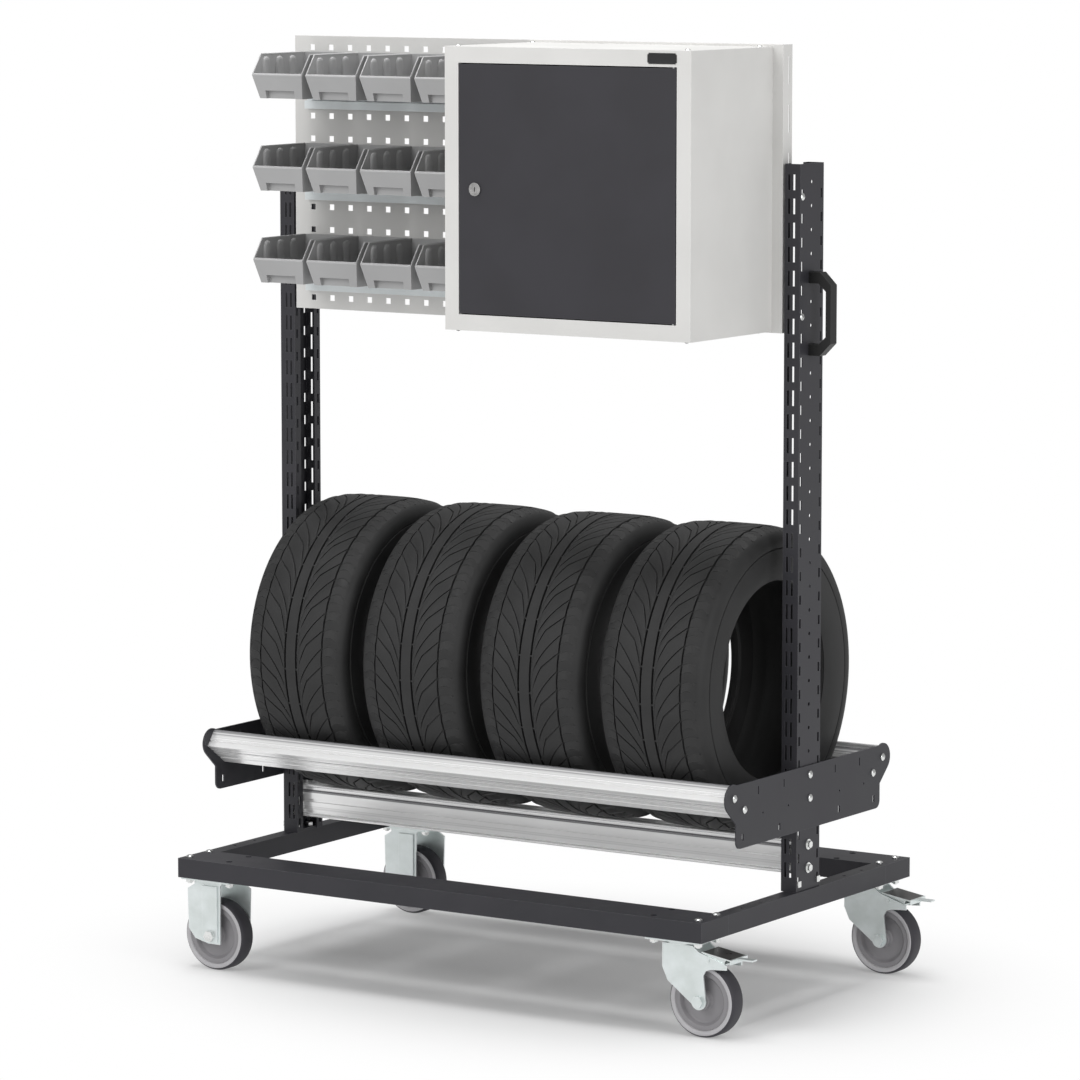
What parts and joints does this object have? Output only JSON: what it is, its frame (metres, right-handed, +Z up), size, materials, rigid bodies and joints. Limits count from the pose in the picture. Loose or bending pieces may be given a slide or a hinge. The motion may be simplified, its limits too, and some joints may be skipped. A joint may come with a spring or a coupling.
{
  "type": "tyre storage rack",
  "caption": "Mobile tyre rack: a base on casters, slotted uprights, an aluminium cradle holding tyres, a perforated panel with small-parts bins and a lockable cabinet.",
  "frame": {"origin": "middle of the footprint, on the floor", "axes": "+Z up, -Y the front with the cabinet door, +X toward the handle and the braked casters"},
  "size_m": [1.1514, 0.702, 1.624],
  "materials": {
    "anthracite_paint": "fine-textured powder coat",
    "door_paint": "fine-textured powder coat",
    "light_grey_paint": "smooth powder coat",
    "wheel_plastic": "moulded plastic",
    "wheel_rubber": "moulded rubber",
    "tyre_rubber": "moulded tread rubber",
    "bare_aluminium": "extruded, mill finish",
    "zinc_sheet": "blue-passivated zinc",
    "zinc_bolts": "bright zinc",
    "bin_plastic": "moulded plastic",
    "handle_plastic": "black glass-filled nylon",
    "plate_plastic": "plain black plate",
    "lock_metal": "nickel-plated"
  },
  "bodies": {
    "rack": {"base_beam_front": "anthracite_paint", "base_beam_rear": "anthracite_paint", "base_beam_left": "anthracite_paint", "base_beam_right": "anthracite_paint", "frame_bolts": "zinc_bolts", "fixed_fork_front": "zinc_sheet", "fixed_fork_rear": "zinc_sheet", "fixed_axles": "zinc_bolts", "swivel_plate_front": "zinc_sheet", "swivel_plate_rear": "zinc_sheet", "upright_left": "anthracite_paint", "upright_right": "anthracite_paint", "foot_nuts": "zinc_bolts", "bracket_left": "anthracite_paint", "bracket_right": "anthracite_paint", "rail_front": "bare_aluminium", "rail_rear": "bare_aluminium", "rail_lower": "bare_aluminium", "rail_bolts": "zinc_bolts", "panel": "light_grey_paint", "panel_screws": "zinc_bolts", "handle": "handle_plastic", "handle_screws": "zinc_bolts", "bin_rails": "zinc_sheet", "cabinet_body": "light_grey_paint", "hinge_pins": "zinc_bolts", "cabinet_plugs": "zinc_bolts", "name_plate": "plate_plastic"},
    "wheel_fl": {"wheel_core_fl": "wheel_plastic", "wheel_tread_fl": "wheel_rubber"},
    "wheel_rl": {"wheel_core_rl": "wheel_plastic", "wheel_tread_rl": "wheel_rubber"},
    "wheel_fr": {"wheel_core_fr": "wheel_plastic", "wheel_tread_fr": "wheel_rubber"},
    "wheel_rr": {"wheel_core_rr": "wheel_plastic", "wheel_tread_rr": "wheel_rubber"},
    "swivel_front": {"swivel_fork_front": "zinc_sheet", "swivel_axle_front": "zinc_bolts"},
    "brake_front": {"brake_pedal_front": "zinc_sheet"},
    "swivel_rear": {"swivel_fork_rear": "zinc_sheet", "swivel_axle_rear": "zinc_bolts"},
    "brake_rear": {"brake_pedal_rear": "zinc_sheet"},
    "door": {"cabinet_door": "door_paint"},
    "lock": {"lock_barrel": "lock_metal"},
    "bin_1_1": {"bin_1_1": "bin_plastic"},
    "bin_1_2": {"bin_1_2": "bin_plastic"},
    "bin_1_3": {"bin_1_3": "bin_plastic"},
    "bin_1_4": {"bin_1_4": "bin_plastic"},
    "bin_2_1": {"bin_2_1": "bin_plastic"},
    "bin_2_2": {"bin_2_2": "bin_plastic"},
    "bin_2_3": {"bin_2_3": "bin_plastic"},
    "bin_2_4": {"bin_2_4": "bin_plastic"},
    "bin_3_1": {"bin_3_1": "bin_plastic"},
    "bin_3_2": {"bin_3_2": "bin_plastic"},
    "bin_3_3": {"bin_3_3": "bin_plastic"},
    "bin_3_4": {"bin_3_4": "bin_plastic"},
    "tyre_1": {"tyre_1": "tyre_rubber"},
    "tyre_2": {"tyre_2": "tyre_rubber"},
    "tyre_3": {"tyre_3": "tyre_rubber"},
    "tyre_4": {"tyre_4": "tyre_rubber"}
  },
  "joints": [
    {"name": "wheel_fl_spin", "type": "hinge", "parent": "rack", "child": "wheel_fl", "pos_m": [-0.51325, -0.303, 0.0625], "axis": [0, 1, 0], "continuous": true},
    {"name": "wheel_rl_spin", "type": "hinge", "parent": "rack", "child": "wheel_rl", "pos_m": [-0.51325, 0.303, 0.0625], "axis": [0, 1, 0], "continuous": true},
    {"name": "wheel_fr_spin", "type": "hinge", "parent": "swivel_front", "child": "wheel_fr", "pos_m": [0.48375, -0.303, 0.0625], "axis": [0, 1, 0], "continuous": true},
    {"name": "wheel_rr_spin", "type": "hinge", "parent": "swivel_rear", "child": "wheel_rr", "pos_m": [0.48375, 0.303, 0.0625], "axis": [0, 1, 0], "continuous": true},
    {"name": "swivel_front_turn", "type": "hinge", "parent": "rack", "child": "swivel_front", "pos_m": [0.44175, -0.303, 0.1547], "axis": [0, 0, 1], "continuous": true},
    {"name": "brake_front_press", "type": "hinge", "parent": "swivel_front", "child": "brake_front", "pos_m": [0.50175, -0.303, 0.1327], "axis": [0, 1, 0], "range_deg": [0, 10]},
    {"name": "swivel_rear_turn", "type": "hinge", "parent": "rack", "child": "swivel_rear", "pos_m": [0.44175, 0.303, 0.1547], "axis": [0, 0, 1], "continuous": true},
    {"name": "brake_rear_press", "type": "hinge", "parent": "swivel_rear", "child": "brake_rear", "pos_m": [0.50175, 0.303, 0.1327], "axis": [0, 1, 0], "range_deg": [0, 10]},
    {"name": "door_swing", "type": "hinge", "parent": "rack", "child": "door", "pos_m": [0.40975, -0.2945, 1.175], "axis": [0, 0, 1], "range_deg": [0, 110]},
    {"name": "lock_turn", "type": "hinge", "parent": "door", "child": "lock", "pos_m": [0.02475, -0.2985, 1.383], "axis": [0, 1, 0], "range_deg": [0, 90]},
    {"name": "bin_1_1_lift", "type": "slide", "parent": "rack", "child": "bin_1_1", "axis": [0, 0, 1], "range_m": [0, 0.012]},
    {"name": "bin_1_2_lift", "type": "slide", "parent": "rack", "child": "bin_1_2", "axis": [0, 0, 1], "range_m": [0, 0.012]},
    {"name": "bin_1_3_lift", "type": "slide", "parent": "rack", "child": "bin_1_3", "axis": [0, 0, 1], "range_m": [0, 0.012]},
    {"name": "bin_1_4_lift", "type": "slide", "parent": "rack", "child": "bin_1_4", "axis": [0, 0, 1], "range_m": [0, 0.012]},
    {"name": "bin_2_1_lift", "type": "slide", "parent": "rack", "child": "bin_2_1", "axis": [0, 0, 1], "range_m": [0, 0.012]},
    {"name": "bin_2_2_lift", "type": "slide", "parent": "rack", "child": "bin_2_2", "axis": [0, 0, 1], "range_m": [0, 0.012]},
    {"name": "bin_2_3_lift", "type": "slide", "parent": "rack", "child": "bin_2_3", "axis": [0, 0, 1], "range_m": [0, 0.012]},
    {"name": "bin_2_4_lift", "type": "slide", "parent": "rack", "child": "bin_2_4", "axis": [0, 0, 1], "range_m": [0, 0.012]},
    {"name": "bin_3_1_lift", "type": "slide", "parent": "rack", "child": "bin_3_1", "axis": [0, 0, 1], "range_m": [0, 0.012]},
    {"name": "bin_3_2_lift", "type": "slide", "parent": "rack", "child": "bin_3_2", "axis": [0, 0, 1], "range_m": [0, 0.012]},
    {"name": "bin_3_3_lift", "type": "slide", "parent": "rack", "child": "bin_3_3", "axis": [0, 0, 1], "range_m": [0, 0.012]},
    {"name": "bin_3_4_lift", "type": "slide", "parent": "rack", "child": "bin_3_4", "axis": [0, 0, 1], "range_m": [0, 0.012]},
    {"name": "tyre_1_lift", "type": "slide", "parent": "rack", "child": "tyre_1", "axis": [0, -0.342, 0.9397], "range_m": [0, 0.3]},
    {"name": "tyre_2_lift", "type": "slide", "parent": "rack", "child": "tyre_2", "axis": [0, -0.342, 0.9397], "range_m": [0, 0.3]},
    {"name": "tyre_3_lift", "type": "slide", "parent": "rack", "child": "tyre_3", "axis": [0, -0.342, 0.9397], "range_m": [0, 0.3]},
    {"name": "tyre_4_lift", "type": "slide", "parent": "rack", "child": "tyre_4", "axis": [0, -0.342, 0.9397], "range_m": [0, 0.3]}
  ]
}
